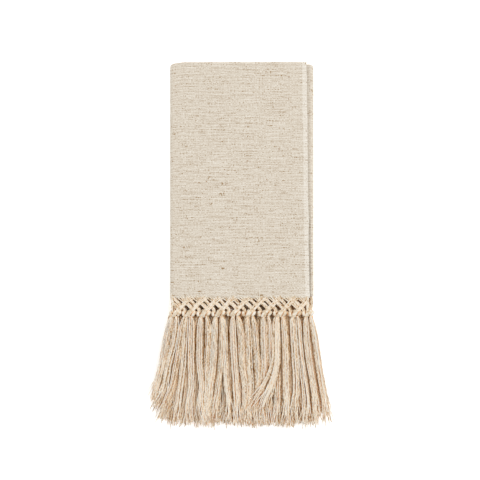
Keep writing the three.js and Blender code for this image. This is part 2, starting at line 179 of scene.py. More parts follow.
# %% Sizes of the folded towel
CLOTH_WIDTH = 380.0
CLOTH_THICKNESS = 1.2
FOLD_ALLOWANCE = 8.0
PANEL_WIDTH = (CLOTH_WIDTH - 2 * FOLD_ALLOWANCE) / 3
TOP_Y = 161.9
LEFT_EDGE = -63.2
RIGHT_EDGE = 64.9
SELVEDGE_TOP = 58.3
SELVEDGE_END = 61.0
CLOTH_END = 209.0
KNOT_DOWN = 223.8
SHOWN_LEVEL = 5

# down, pitch of the layers, height of the lowest layer's middle
STACK = np.array([
    (0, 1.8, 0.65), (150, 1.8, 0.65), (180, 1.98, 0.65), (209, 2.45, 0.65), (209.4, 2.46, 0.75),
    (211.6, 2.55, 0.75), (214, 2.7, 1.07), (220, 2.95, 1.3), (228, 2.95, 1.3), (245, 2.6, 1.125),
    (280, 2.2, 0.925), (325, 1.9, 0.775),
])
FINE_DOWN = np.arange(0, 326, 0.5)
rough_pitch = np.interp(FINE_DOWN, STACK[:, 0], STACK[:, 1])
padded_pitch = np.pad(rough_pitch, 12, mode="edge")
FINE_PITCH = np.convolve(padded_pitch, np.ones(25) / 25, mode="valid")

# across, and how far that part sits below the crosswise fold's line
TURNS = np.cumsum([PANEL_WIDTH, FOLD_ALLOWANCE, PANEL_WIDTH, FOLD_ALLOWANCE])
DROP = np.array([
    (0, 1.7), (TURNS[0], 1.7), (TURNS[0] + 4, 3.2), (TURNS[1], 1.7), (TURNS[2], 1.7),
    (TURNS[2] + 4, 2.7), (TURNS[3], 1.3), (TURNS[3] + 9, 0), (CLOTH_WIDTH, 0),
])


def pitch_at(down):
    return np.interp(down, FINE_DOWN, FINE_PITCH)


def seat_at(down):
    return np.interp(down, STACK[:, 0], STACK[:, 2])


def fullness(x, down):
    fade = np.clip((CLOTH_END - 12 - down) / 60, 0, 1)
    return 1 + 0.035 * fade * np.sin(x / 21 + 0.7) * np.sin(down / 33 + 1.2)


print("height at the knots:", round(float(seat_at(KNOT_DOWN) + 5 * pitch_at(KNOT_DOWN)), 1), "mm")

# %% Points of the layers
def lay(level, x, down, rise):
    """A point of one layer's flat part, in millimetres."""
    height = (seat_at(down) + level * pitch_at(down) + rise) * fullness(x, down)
    return np.stack(np.broadcast_arrays(x, TOP_Y - down, height), axis=-1)


def place(across, down, rise):
    """A point of the doubled and folded cloth, in millimetres."""
    pitch = pitch_at(down)
    bottom = seat_at(down) + pitch / 2
    left = LEFT_EDGE + 1.5 * pitch + CLOTH_THICKNESS / 2
    right = RIGHT_EDGE - 1.5 * pitch - CLOTH_THICKNESS / 2
    selvedge = SELVEDGE_TOP + (SELVEDGE_END - SELVEDGE_TOP) * np.clip(down / CLOTH_END, 0, 1)
    turn_a = np.pi * ((across - TURNS[0]) / FOLD_ALLOWANCE - 0.5)
    turn_b = np.pi * ((across - TURNS[2]) / FOLD_ALLOWANCE - 0.5)
    where = [across <= TURNS[0], across < TURNS[1], across <= TURNS[2], across < TURNS[3]]
    x = np.select(where, [
        right - (TURNS[0] - across),
        right + (pitch - rise) * np.cos(turn_a),
        right + (left - right) * (across - TURNS[1]) / PANEL_WIDTH,
        left - (pitch + rise) * np.cos(turn_b),
    ], left + (selvedge - left) * (across - TURNS[3]) / PANEL_WIDTH)
    z = np.select(where, [
        bottom + rise,
        bottom + pitch + (pitch - rise) * np.sin(turn_a),
        bottom + 2 * pitch - rise,
        bottom + 3 * pitch + (pitch + rise) * np.sin(turn_b),
    ], bottom + 4 * pitch + rise)
    drop = np.interp(across, DROP[:, 0], DROP[:, 1]) * np.clip(1 - down / CLOTH_END, 0, 1)
    return np.stack(np.broadcast_arrays(x, TOP_Y - down - drop, z * fullness(x, down)), axis=-1)


print("corner of the top panel:", place(np.array([380.0]), np.array([0.0]), np.array([0.9]))[0].round(1))

# %% [markdown]
# ## From rows of points to a mesh
# Both builders below hand over whole arrays, because Blender takes a hundred thousand points at once
# much faster than one by one. Every mesh keeps a UV map in metres, so that thread and ply have a true size.

# %% Mesh helper
def mesh_piece(name, points_mm, quads, uv, material, tone=None):
    mesh = bpy.data.meshes.new(name)
    mesh.vertices.add(len(points_mm))
    mesh.vertices.foreach_set("co", (points_mm * MM).astype(np.float32).ravel())
    mesh.loops.add(quads.size)
    mesh.loops.foreach_set("vertex_index", quads.astype(np.int32).ravel())
    mesh.polygons.add(len(quads))
    mesh.polygons.foreach_set("loop_start", np.arange(0, quads.size, 4, dtype=np.int32))
    mesh.polygons.foreach_set("use_smooth", np.ones(len(quads), dtype=bool))
    layer = mesh.uv_layers.new(name="metres")
    layer.data.foreach_set("uv", (uv[quads.ravel()] * MM).astype(np.float32).ravel())
    if tone is not None:
        attribute = mesh.attributes.new("tone", "FLOAT", "POINT")
        attribute.data.foreach_set("value", tone.astype(np.float32))
    mesh.update(calc_edges=True)
    mesh.validate()
    mesh.materials.append(material)
    piece = bpy.data.objects.new(name, mesh)
    bpy.context.scene.collection.objects.link(piece)
    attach(piece, "root")
    print(name, "has", 2 * len(quads), "triangles")
    return piece


# %% [markdown]
# ## Slub cotton
# The cloth is unbleached cotton in plain weave. Its weft was spun by hand, so it swells and thins along its
# length, and that shows as short streaks that run across the towel. The warp is more even and shows as a
# faint upright grain. Threads lie 0.7 mm apart, finer than one pixel of the render, so they are drawn
# 1.0 mm apart. Cotton is matt, with a little sheen from loose fibre.

# %% Slub cotton material
THREAD = 1.0 * MM
slub_cotton, cloth_tree, cloth_shader = start_material("slub_cotton_plain_weave", 0.92, 0.12)
weave_place = add_node(cloth_tree, "ShaderNodeUVMap", {"uv_map": "metres"})


def streaks(tree, place_node, length, width, detail):
    """Noise that is drawn out: length and width of one streak in metres."""
    stretched = add_node(
        tree,
        "ShaderNodeMapping",
        values={"Scale": (1 / length, 1 / width, 1.0)},
        links={"Vector": (place_node, 0)},
    )
    return add_node(
        tree,
        "ShaderNodeTexNoise",
        values={"Scale": 1.0, "Detail": detail, "Roughness": 0.55},
        links={"Vector": (stretched, 0)},
    )


def add_up(tree, start, parts):
    """start plus each noise, counted from its middle and times its weight."""
    total = None
    rest = start - sum(weight * 0.5 for _, weight in parts)
    for noise, weight in parts:
        links = {0: (noise, 0)}
        values = {1: weight, 2: rest}
        if total is not None:
            links[2] = (total, 0)
            values = {1: weight}
        total = add_node(tree, "ShaderNodeMath", {"operation": "MULTIPLY_ADD"}, values, links)
    return total


long_slubs = streaks(cloth_tree, weave_place, 26 * MM, 0.5 * MM, 0.0)
short_slubs = streaks(cloth_tree, weave_place, 6 * MM, 0.5 * MM, 0.0)
warp_grain = streaks(cloth_tree, weave_place, 0.7 * MM, 9 * MM, 0.0)
fine_grain = streaks(cloth_tree, weave_place, 1.5 * MM, 0.38 * MM, 0.0)
MIDDLE_TONE = 0.5
GRAIN_WEIGHTS = [(long_slubs, 0.5), (short_slubs, 0.4), (warp_grain, 0.16), (fine_grain, 0.9)]
smooth_tone = add_up(cloth_tree, MIDDLE_TONE, GRAIN_WEIGHTS)
print("grain patterns:", len(GRAIN_WEIGHTS))

# %% Dots, selvedge and rows
DOT_DARKENING = -0.55
SELVEDGE_START = 375.5 * MM
SELVEDGE_INSIDE = 376.5 * MM
SELVEDGE_LIFT = 0.2
ROW_CONTRAST = 0.045
ROW_DRIFT = 9.0

# where a thick pick crosses the warp, a row of small dark dots shows between the ends
thick_picks = streaks(cloth_tree, weave_place, 11 * MM, 1.0 * MM, 0.0)
dot_places = streaks(cloth_tree, weave_place, 1.1 * MM, 3.0 * MM, 0.0)
pick_mask = add_node(
    cloth_tree,
    "ShaderNodeMapRange",
    values={"From Min": 0.58, "From Max": 0.72},
    links={"Value": (thick_picks, 0)},
)
dot_mask = add_node(
    cloth_tree,
    "ShaderNodeMapRange",
    values={"From Min": 0.5, "From Max": 0.7, "To Max": DOT_DARKENING},
    links={"Value": (dot_places, 0)},
)
dotted_tone = add_node(
    cloth_tree,
    "ShaderNodeMath",
    {"operation": "MULTIPLY_ADD"},
    links={0: (pick_mask, 0), 1: (dot_mask, 0), 2: (smooth_tone, 0)},
)

# the last threads at the selvedge are doubled and packed close, which makes them paler
cloth_axes = add_node(cloth_tree, "ShaderNodeSeparateXYZ", links={0: (weave_place, 0)})
selvedge_mask = add_node(
    cloth_tree,
    "ShaderNodeMapRange",
    values={"From Min": SELVEDGE_START, "From Max": SELVEDGE_INSIDE, "To Max": SELVEDGE_LIFT},
    links={"Value": (cloth_axes, 0)},
)
paler_tone = add_node(
    cloth_tree, "ShaderNodeMath", {"operation": "ADD"}, links={0: (dotted_tone, 0), 1: (selvedge_mask, 0)}
)

# the weaver beats the picks in groups, and the groups show as fine rows that drift a little
ROW = 2.6 * MM
row_drift = streaks(cloth_tree, weave_place, 40 * MM, 6 * MM, 0.0)
drift_turns = add_node(
    cloth_tree, "ShaderNodeMath", {"operation": "MULTIPLY"}, {1: ROW_DRIFT}, {0: (row_drift, 0)}
)
row_turns = add_node(
    cloth_tree,
    "ShaderNodeMath",
    {"operation": "MULTIPLY_ADD"},
    {1: 2 * math.pi / ROW},
    {0: (cloth_axes, "Y"), 2: (drift_turns, 0)},
)
row_wave = add_node(cloth_tree, "ShaderNodeMath", {"operation": "SINE"}, links={0: (row_turns, 0)})
weave_tone = add_node(
    cloth_tree,
    "ShaderNodeMath",
    {"operation": "MULTIPLY_ADD"},
    {1: ROW_CONTRAST},
    {0: (row_wave, 0), 2: (paler_tone, 0)},
)
cloth_colour = add_node(cloth_tree, "ShaderNodeValToRGB", links={"Fac": (weave_tone, 0)})
fill_ramp(cloth_colour, ((0.0, "#8b704c"), (0.5, "#c5bdb0"), (1.0, "#dbd8d1")))
cloth_tree.links.new(cloth_colour.outputs["Color"], cloth_shader.inputs["Base Color"])
print("slub cotton nodes:", len(cloth_tree.nodes))

# %% Weave relief
thread_turn = add_node(
    cloth_tree,
    "ShaderNodeVectorMath",
    {"operation": "SCALE"},
    {"Scale": math.pi / THREAD},
    {0: (weave_place, 0)},
)
thread_axes = add_node(cloth_tree, "ShaderNodeSeparateXYZ", links={0: (thread_turn, 0)})
warp_wave = add_node(cloth_tree, "ShaderNodeMath", {"operation": "SINE"}, links={0: (thread_axes, 0)})
weft_wave = add_node(cloth_tree, "ShaderNodeMath", {"operation": "SINE"}, links={0: (thread_axes, 1)})
over_under = add_node(
    cloth_tree, "ShaderNodeMath", {"operation": "MULTIPLY"}, links={0: (warp_wave, 0), 1: (weft_wave, 0)}
)
weave_height = add_node(
    cloth_tree,
    "ShaderNodeMath",
    {"operation": "MULTIPLY_ADD"},
    {1: 0.1},
    {0: (over_under, 0), 2: (weave_tone, 0)},
)
weave_bump = add_node(
    cloth_tree,
    "ShaderNodeBump",
    values={"Strength": 0.25, "Distance": 0.6 * MM},
    links={"Height": (weave_height, 0)},
)
cloth_tree.links.new(weave_bump.outputs["Normal"], cloth_shader.inputs["Normal"])
print("thread spacing drawn:", THREAD / MM, "mm")

# %% [markdown]
# ## The cloth
# One sheet with two faces and a rim. Its rows run from the front end, over the crosswise fold, to the back
# end, and its columns from selvedge to selvedge through both lengthwise folds. The panel that shows gets the
# finest grid, so that its surface can swell a little and its edges can wander as hand-woven edges do.

# %% Cloth grid
KNOTS_SHOWN = np.array([-58.5, -46.4, -33.3, -20.2, -6.9, 6.9, 20.8, 34.4, 47.5, 59.3])


def stretch_of(start, stop, count):
    return np.linspace(start, stop, count, endpoint=False)


columns = np.concatenate([
    stretch_of(0, TURNS[0], 22),
    stretch_of(TURNS[0], TURNS[1], 16),
    stretch_of(TURNS[1], TURNS[2], 22),
    stretch_of(TURNS[2], TURNS[3], 16),
    stretch_of(TURNS[3], CLOTH_WIDTH - 0.8, 74),
    [CLOTH_WIDTH - 0.8, CLOTH_WIDTH],
])
bend = pitch_at(0) / 2 + CLOTH_THICKNESS / 2
flat_downs = np.linspace(CLOTH_END + 1.3, bend, 150)
back_downs = np.linspace(bend, CLOTH_END, 60)
turn = np.linspace(np.pi / 2, -np.pi / 2, 12)[1:-1]
print("cloth grid:", len(columns), "columns,", len(flat_downs) + len(turn) + len(back_downs), "rows")

# %% Wandering edges and soft swelling
def wander(positions, spacing, amount, seed):
    """A smooth random course: knots of the course lie spacing apart."""
    dice_here = np.random.default_rng(seed)
    span = positions.max() - positions.min()
    knots = np.linspace(positions.min(), positions.max() + 1e-6, max(4, int(span / spacing)))
    heights = dice_here.normal(0, amount, len(knots))
    fine = np.interp(positions, knots, heights)
    finer = np.interp(positions + spacing / 3, knots, np.roll(heights, 1))
    return (fine + finer) / 2


def swelling(across, down):
    """Height of soft swells on the panel that shows, in millimetres."""
    shown = np.clip((across - TURNS[3]) / 20, 0, 1) * np.clip((CLOTH_WIDTH - across) / 12, 0, 1)
    long_swell = np.sin(across / 15 + 0.6 * np.sin(down / 40)) * np.sin(down / 27 + 1.0)
    cross_swell = np.sin(across / 37 + 2.0) * np.sin(down / 11 + 0.8 * np.sin(across / 30))
    selvedge = 0.25 * np.clip((across - CLOTH_WIDTH + 4) / 2, 0, 1)
    return shown * (0.1 * long_swell + 0.05 * cross_swell) + selvedge


NOTCH_DEPTH = 1.5
NOTCH_HALF_WIDTH = 1.9
NOTCH_TO_KNOT = 3.4


def end_notches(across):
    """How far the last picks droop between the groups of warp, in millimetres."""
    x = (across - TURNS[3]) * 0.988 - 58.9
    to_gap = (x[:, None] - KNOTS_SHOWN[None, :] + NOTCH_TO_KNOT) / NOTCH_HALF_WIDTH
    return NOTCH_DEPTH * np.exp(-(to_gap**2)).sum(axis=1) - 0.2 + 0.25 * np.sin(across * 1.9)


def puffed(points, down):
    """The fold beside the selvedge is springy and stands up higher than the layers pressed flat."""
    pitch = pitch_at(down)
    selvedge = SELVEDGE_TOP + (SELVEDGE_END - SELVEDGE_TOP) * np.clip(down / CLOTH_END, 0, 1)
    beside = np.clip((points[:, 0] - selvedge - 0.5) / 1.3, 0, 1) * (columns < TURNS[2] - 60)
    upper = np.clip((points[:, 2] - 2.0 * pitch) / (2.0 * pitch), 0, 1)
    points[:, 2] += 2.0 * beside * upper
    return points


print("swell at the middle:", round(float(swelling(np.array(320.0), np.array(100.0))), 2), "mm")

# %% Build the cloth
def cloth_face(face):
    """All points of one face, row by row: face is 1 outside and -1 inside."""
    rows = []
    half = face * CLOTH_THICKNESS / 2
    for down in flat_downs:
        here = down + end_notches(columns) * np.clip((down - CLOTH_END + 3) / 3, 0, 1)
        rise = pitch_at(here) / 2 + half - 0.3 * np.clip(here - CLOTH_END, 0, 1.5)
        rows.append(puffed(place(columns, here, rise + swelling(columns, here)), here))
    radius = pitch_at(0) / 2 + half
    for angle in turn:
        down = bend - radius * math.cos(angle)
        flat = place(columns, np.full_like(columns, down), radius * math.sin(angle) + 0 * columns)
        rows.append(puffed(flat, down))
    for down in back_downs:
        flat = place(columns, np.full_like(columns, down), -(pitch_at(down) / 2 + half) + 0 * columns)
        rows.append(puffed(flat, down))
    grid = np.array(rows)
    along = np.arange(len(rows))
    grid[:, -1, 0] += wander(along.astype(float), 5, 0.22, 3)
    grid[:, -2, 0] += wander(along.astype(float), 5, 0.22, 3)
    return grid


outer = cloth_face(1)
inner = cloth_face(-1)
rows_total, columns_total = outer.shape[:2]
print("points on each face:", rows_total * columns_total)

# %% Join the two faces
sheet_points = np.concatenate([outer.reshape(-1, 3), inner.reshape(-1, 3)])
number = np.arange(rows_total * columns_total).reshape(rows_total, columns_total)
under = number + rows_total * columns_total


def between(grid, flip):
    quads = np.stack([grid[:-1, :-1], grid[:-1, 1:], grid[1:, 1:], grid[1:, :-1]], axis=-1).reshape(-1, 4)
    return quads[:, ::-1] if flip else quads


def rim(first, second, flip):
    quads = np.stack([first[:-1], first[1:], second[1:], second[:-1]], axis=-1)
    return quads[:, ::-1] if flip else quads


sheet_quads = np.concatenate([
    between(number, True),
    between(under, False),
    rim(number[0], under[0], False),
    rim(number[-1], under[-1], True),
    rim(number[:, 0], under[:, 0], True),
    rim(number[:, -1], under[:, -1], False),
])
row_along = np.concatenate([CLOTH_END - flat_downs, np.linspace(208, 211, len(turn)), 212 + back_downs])
sheet_uv = np.stack(np.broadcast_arrays(columns[None, :], row_along[:, None]), axis=-1).reshape(-1, 2)
both_faces_uv = np.concatenate([sheet_uv, sheet_uv])
cloth = mesh_piece("towel_cloth_woven", sheet_points, sheet_quads, both_faces_uv, slub_cotton)
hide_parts("towel_cloth")

# %% [markdown]
# ## Cotton yarn
# The fringe is the same cotton, but here it is loose yarn of two plies, a millimetre thick. It looks warmer
# than the cloth: light that goes in between the yarns comes back tan, because it picks up colour at each
# bounce. A renderer follows only a few bounces, so the Ambient Occlusion node finds the narrow places, and
# they are tinted with painted bounce light. The plies turn once in 2.5 mm. Each yarn has a tone of its own,
# kept in the mesh as "tone"; painted shade is added to it for yarns low in a bundle or sunk between strands
# and for layers that are only seen through holes, and painted light for yarns high in a bundle.

# %% Cotton yarn material
two_ply_yarn, yarn_tree, yarn_shader = start_material("two_ply_cotton_yarn", 0.95, 0.03)
yarn_shader.inputs["Specular IOR Level"].default_value = 0.1
yarn_place = add_node(yarn_tree, "ShaderNodeUVMap", {"uv_map": "metres"})
yarn_tone = add_node(yarn_tree, "ShaderNodeAttribute", {"attribute_name": "tone"})
fibre = streaks(yarn_tree, yarn_place, 2.8 * MM, 1.5 * MM, 1.0)
fibre_tone = add_node(
    yarn_tree,
    "ShaderNodeMath",
    {"operation": "MULTIPLY_ADD"},
    {1: 2.0, 2: -1.0},
    {0: (fibre, 0)},
)
mixed_tone = add_node(
    yarn_tree, "ShaderNodeMath", {"operation": "ADD"}, links={0: (fibre_tone, 0), 1: (yarn_tone, "Fac")}
)
tone_and_painted_shade = add_node(yarn_tree, "ShaderNodeValToRGB", links={"Fac": (mixed_tone, 0)})
# yarn colour by tone, with painted shade: darkest fibres and shaded yarns low, palest and lit yarns high
TONE_AND_PAINTED_SHADES = ((0.0, "#a5835c"), (0.3, "#dfccb3"), (0.58, "#f9f4ec"), (1.0, "#ffffff"))
fill_ramp(tone_and_painted_shade, TONE_AND_PAINTED_SHADES)
openness = add_node(yarn_tree, "ShaderNodeAmbientOcclusion", {"samples": 6}, {"Distance": 4.5 * MM})
bounce_colour = add_node(yarn_tree, "ShaderNodeValToRGB", links={"Fac": (openness, "AO")})
# tint of the light, from the narrowest places to the open ones
BOUNCE_COLOURS = (
    (0.0, "#eeb47c"), (0.1, "#efae68"), (0.2, "#efb474"), (0.3, "#f8d4a0"),
    (0.42, "#fbeacc"), (0.6, "#f1e9db"), (0.75, "#dad6cd"),
)
fill_ramp(bounce_colour, BOUNCE_COLOURS)
yarn_colour = add_node(
    yarn_tree,
    "ShaderNodeMix",
    {"data_type": "RGBA", "blend_type": "MULTIPLY"},
    {"Factor": 1.0},
    {"A": (bounce_colour, "Color"), "B": (tone_and_painted_shade, "Color")},
)
yarn_tree.links.new(yarn_colour.outputs["Result"], yarn_shader.inputs["Base Color"])
print("yarn nodes:", len(yarn_tree.nodes))

# %% Ply relief
PLY_TURN = 2.5 * MM
ply_axes = add_node(yarn_tree, "ShaderNodeSeparateXYZ", links={0: (yarn_place, 0)})
along_turns = add_node(
    yarn_tree, "ShaderNodeMath", {"operation": "MULTIPLY"}, {1: 2 * math.pi / PLY_TURN}, {0: (ply_axes, 0)}
)
around_turns = add_node(
    yarn_tree,
    "ShaderNodeMath",
    {"operation": "MULTIPLY_ADD"},
    {1: 2 * math.pi / MM},
    {0: (ply_axes, 1), 2: (along_turns, 0)},
)
ply_wave = add_node(yarn_tree, "ShaderNodeMath", {"operation": "SINE"}, links={0: (around_turns, 0)})
ply_height = add_node(
    yarn_tree, "ShaderNodeMath", {"operation": "MULTIPLY_ADD"}, {1: 0.3}, {0: (ply_wave, 0), 2: (fibre, 0)}
)
ply_bump = add_node(
    yarn_tree,
    "ShaderNodeBump",
    values={"Strength": 0.5, "Distance": 0.35 * MM},
    links={"Height": (ply_height, 0)},
)
yarn_tree.links.new(ply_bump.outputs["Normal"], yarn_shader.inputs["Normal"])
print("ply turn:", PLY_TURN / MM, "mm")

# %% [markdown]
# ## Tubes for cords and yarns
# Each yarn is a course of points with a ring of corners at each. The rings of all yarns of a piece are
# worked out together. Blender could also bevel a curve, but more than two thousand curves would be slower
# to make, and a mesh keeps each yarn's tone, painted shade included.

# %% Tube builder
def tubes(paths, radius, sides, tone, across_axis=(0.0, 0.0, 1.0)):
    """Points, quads, uv and tone of round tubes. paths is (yarns, points, 3), radius (yarns, points)."""
    yarns, count = paths.shape[:2]
    direction = np.gradient(paths, axis=1)
    direction /= np.linalg.norm(direction, axis=2, keepdims=True) + 1e-9
    side = np.cross(direction, np.array(across_axis))
    side /= np.linalg.norm(side, axis=2, keepdims=True) + 1e-9
    upward = np.cross(side, direction)
    angle = 2 * np.pi * np.arange(sides + 1) / sides
    ring = side[:, :, None] * np.cos(angle)[:, None] + upward[:, :, None] * np.sin(angle)[:, None]
    points = paths[:, :, None] + ring * radius[:, :, None, None]
    length = np.cumsum(np.linalg.norm(np.diff(paths, axis=1, prepend=paths[:, :1]), axis=2), axis=1)
    own_start = (np.arange(yarns) * 7.31 + paths[:, 0, 0] * 3.1) % 40
    length = length + own_start[:, None]
    uv = np.stack(np.broadcast_arrays(length[:, :, None], angle / (2 * np.pi)), axis=-1)
    index = np.arange(yarns * count * (sides + 1)).reshape(yarns, count, sides + 1)
    quads = np.stack(
        [index[:, :-1, :-1], index[:, 1:, :-1], index[:, 1:, 1:], index[:, :-1, 1:]], axis=-1
    ).reshape(-1, 4)
    tones = np.repeat(tone, count * (sides + 1))
    return points.reshape(-1, 3), quads, uv.reshape(-1, 2), tones


def gather(parts):
    """Joins the points, quads, uv and tones of several sets of tubes."""
    offset = np.cumsum([0] + [len(part[0]) for part in parts[:-1]])
    points = np.concatenate([part[0] for part in parts])
    quads = np.concatenate([part[1] + start for part, start in zip(parts, offset)])
    uv = np.concatenate([part[2] for part in parts])
    tone = np.concatenate([part[3] for part in parts])
    return points, quads, uv, tone


straight_yarn = np.array([[(0.0, 0.0, 0.0), (5.0, 0.0, 0.0), (10.0, 0.0, 0.0)]])
sample = tubes(straight_yarn, np.full((1, 3), 0.5), 3, np.array([0.5]))
print("a straight yarn of three points gets", len(sample[1]), "faces")

# %% [markdown]
# ## The lattice
# Below the weave the warp is parted into groups. Each knot takes one broad band from the right, which lies on
# top, and two from the left, which pass under its neighbours. A band is three or four cords side by side.
# The courses are given from each knot, as sideways and down positions, so the same table serves every knot.

# %% Lattice bands
# sideways from the knot's middle, down, height; one row for each station of the band's course
BAND_RIGHT = np.array([
    (15.9, 207.4, -0.3), (13.4, 209.6, 0.4), (10.7, 212.4, 0.8), (7.6, 215.8, 1.0), (4.4, 219.0, 1.3),
    (2.2, 221.6, 1.2), (0.6, 223.6, 0.5), (-0.2, 225.2, -0.5),
])
BAND_LEFT = np.array([
    (-15.0, 207.4, -0.3), (-13.2, 210.2, 0.3), (-10.6, 213.0, -0.1), (-6.9, 217.2, -0.3), (-4.1, 220.0, 0.4),
    (-3.7, 223.0, 0.3),
])
BAND_BEHIND = np.array([
    (-9.0, 207.4, -0.3), (-6.9, 209.8, 0.3), (-2.8, 213.9, 0.1), (0.0, 216.2, 0.0), (2.0, 218.4, -0.2),
    (4.0, 221.0, 0.2), (4.5, 224.0, 0.2),
])
# course, cords in it, spacing of the cords, their radius
BANDS = [(BAND_RIGHT, 4, 0.92, 0.57), (BAND_LEFT, 3, 0.84, 0.54), (BAND_BEHIND, 3, 1.02, 0.6)]


def smooth_course(stations, count):
    """Values at even steps along a smooth curve through the stations."""
    steps = np.linspace(0, len(stations) - 1, count)
    base = np.clip(steps.astype(int), 0, len(stations) - 2)
    share = (steps - base)[:, None]
    slopes = np.gradient(stations, axis=0)
    start, stop = stations[base], stations[base + 1]
    begin, end = slopes[base], slopes[base + 1]
    return (
        (2 * share**3 - 3 * share**2 + 1) * start
        + (share**3 - 2 * share**2 + share) * begin
        + (3 * share**2 - 2 * share**3) * stop
        + (share**3 - share**2) * end
    )


def held_back(room):
    """The room itself where there is plenty, and softly more than nothing at a panel's edge."""
    return 1.2 * np.logaddexp(0, room / 1.2)


def band_cords(level, knot_x, band, count, limits, dice_here):
    """The cords of one band, side by side, fanned out where they leave the weave."""
    stations, cords, spacing, _ = band
    course = smooth_course(stations, count)
    heading = np.gradient(course[:, :2], axis=0)
    heading /= np.linalg.norm(heading, axis=1, keepdims=True)
    beside = np.stack([-heading[:, 1], heading[:, 0]], axis=1)
    fan = 1 + 1.1 * np.clip((213.0 - course[:, 1]) / 4.5, 0, 1)
    paths = []
    for n in range(cords):
        lane = n - (cords - 1) / 2
        away = lane * spacing * fan
        x = knot_x + course[:, 0] + beside[:, 0] * away + dice_here.normal(0, 0.07)
        down = course[:, 1] + beside[:, 1] * away
        low, high = limits
        x = low + 0.5 * n + held_back(x - low - 0.5 * n)
        x = high - 0.5 * n - held_back(high - 0.5 * n - x)
        rise = course[:, 2] - 0.22 * lane**2 + dice_here.normal(0, 0.12)
        paths.append(lay(level, x, down, rise))
    return np.array(paths)


print("lattice bands:", len(BANDS) * len(KNOTS_SHOWN), "on the layer that shows")

# %% [markdown]
# ## The knots
# The broad band runs down into the middle of the knot, under two slanting turns that make its wrap. At each
# side of the wrap a turn of cord is drawn tight and shows as an upright lobe. A thick turn under the wrap
# fills the knot.

# %% Knot turns
# sideways, down, half height, half depth, cord radius, slant, lift
KNOT_TURNS = [
    (-4.7, 223.9, 1.0, 0.9, 1.35, -0.2, 0.3),
    (0.0, 223.9, 1.6, 0.5, 1.8, 0.3, -0.4),
    (-0.9, 223.7, 1.9, 1.1, 1.2, 1.3, 0.8),
    (1.1, 223.2, 2.0, 1.2, 1.2, 1.4, 0.9),
    (4.3, 223.9, 1.2, 0.95, 1.35, 0.9, 0.3),
]


def knot_cords(level, knot_x, width, count, dice_here):
    """One closed slanting loop for each row of the table."""
    around = np.linspace(0, 2 * np.pi, count)
    paths = []
    radii = []
    for along, middle, half_height, half_depth, cord_radius, slant, lift in KNOT_TURNS:
        wobble = dice_here.normal(0, 0.16, 3)
        x = knot_x + width * along + slant * np.cos(around + np.pi) + wobble[0]
        down = middle + (half_height + wobble[1]) * np.cos(around) + wobble[2]
        paths.append(lay(level, x, down, lift + half_depth * np.sin(around)))
        radii.append(np.full(count, cord_radius))
    return np.array(paths), np.array(radii)


print("turns in a knot:", len(KNOT_TURNS))

# %% Build the headings
HIDDEN_KNOTS = np.linspace(-56.6, 59.0, 10)

# painted shade: how much browner each layer's cords are painted, where they lie in shade under the
# layer above and are only seen through narrow holes
HEADING_PAINTED_SHADE = (0.0, 0.0, 0.0, 0.1, 0.05, 0.0)
TASSEL_PAINTED_SHADE = (0.0, 0.0, 0.0, 0.0, 0.05, 0.0)

# points along a band, sides of a cord, points round a knot's turn, sides of a turn
FINE_CORDS = (24, 6, 25, 8)
PLAIN_CORDS = (10, 4, 13, 5)

# mean and spread of the cords' own shades
BAND_TONE = (0.57, 0.1)
KNOT_TONE = (0.62, 0.08)
END_KNOT_WIDTH = 0.82


def knots_of(level):
    """The next layer's knots lie right under those that show, and the lower ones are out of step."""
    if level == SHOWN_LEVEL:
        return KNOTS_SHOWN
    if level == SHOWN_LEVEL - 1:
        return KNOTS_SHOWN + 0.8 * np.sin(np.arange(10) * 2.1)
    out_of_step = (2.0, -2.2, 2.6, -1.6)[level] + 1.2 * np.sin(np.arange(10) * 1.7 + level)
    return np.clip(HIDDEN_KNOTS + out_of_step, -59.0, 59.3)


def heading_layer(level, seed):
    """The lattice and the knots of one layer."""
    dice_here = np.random.default_rng(seed)
    fine = level >= SHOWN_LEVEL - 1
    band_points, cord_sides, turn_points, turn_sides = FINE_CORDS if fine else PLAIN_CORDS
    limits = (LEFT_EDGE + 1.6, (SELVEDGE_END if fine else RIGHT_EDGE) - 1.2)
    parts = []
    for n, knot_x in enumerate(knots_of(level)):
        for band in BANDS:
            paths = band_cords(level, knot_x, band, band_points, limits, dice_here)
            if level < SHOWN_LEVEL:
                # a hidden band stays low, so that it doesn't come up through the layer above
                paths[:, :, 2] = np.minimum(paths[:, :, 2], paths[:, :1, 2] + 1.0)
            radius = np.full(paths.shape[:2], band[3])
            # cords of a hidden layer get painted shade, as they lie in shade under the layer above
            tone = dice_here.normal(*BAND_TONE, len(paths)) - HEADING_PAINTED_SHADE[level]
            parts.append(tubes(paths, radius, cord_sides, tone))
        width = END_KNOT_WIDTH if n in (0, 9) else 1.0
        paths, radii = knot_cords(level, knot_x, width, turn_points, dice_here)
        tone = dice_here.normal(*KNOT_TONE, len(paths)) - HEADING_PAINTED_SHADE[level]
        parts.append(tubes(paths, radii, turn_sides, tone, (1.0, 0.0, 0.0)))
    return parts


def yarn_piece(name, parts, node):
    """One mesh of many tubes, in place of a solid's node. Nothing reaches below the surface it lies on."""
    points, quads, uv, tone = gather(parts)
    points[:, 2] = np.maximum(points[:, 2], 0.02)
    piece = mesh_piece(name, points, quads, uv, two_ply_yarn, tone)
    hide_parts(node)
    return piece


front_cords = sum([heading_layer(n, 40 + n) for n in (1, 2, 5)], [])
front_heading = yarn_piece("front_heading", front_cords, "front_fringe")
back_cords = sum([heading_layer(n, 40 + n) for n in (0, 3, 4)], [])
back_heading = yarn_piece("back_heading", back_cords, "back_fringe")

# %% [markdown]
# ## The tassels
# Under each knot hang two bundles of yarn, and here and there a thinner third. The table says, for the layer
# that shows, where each bundle's middle lies at six distances from the fold, where it ends, and how many
# yarns it has. One bundle is thrown sideways over its neighbours. The yarns start close together under the
# knot, spread, and fray at their cut ends.

# %% Bundles of the layer that shows
COURSE_DOWNS = np.array([227.7, 248.1, 268.6, 288.9, 302.6, 319.7])

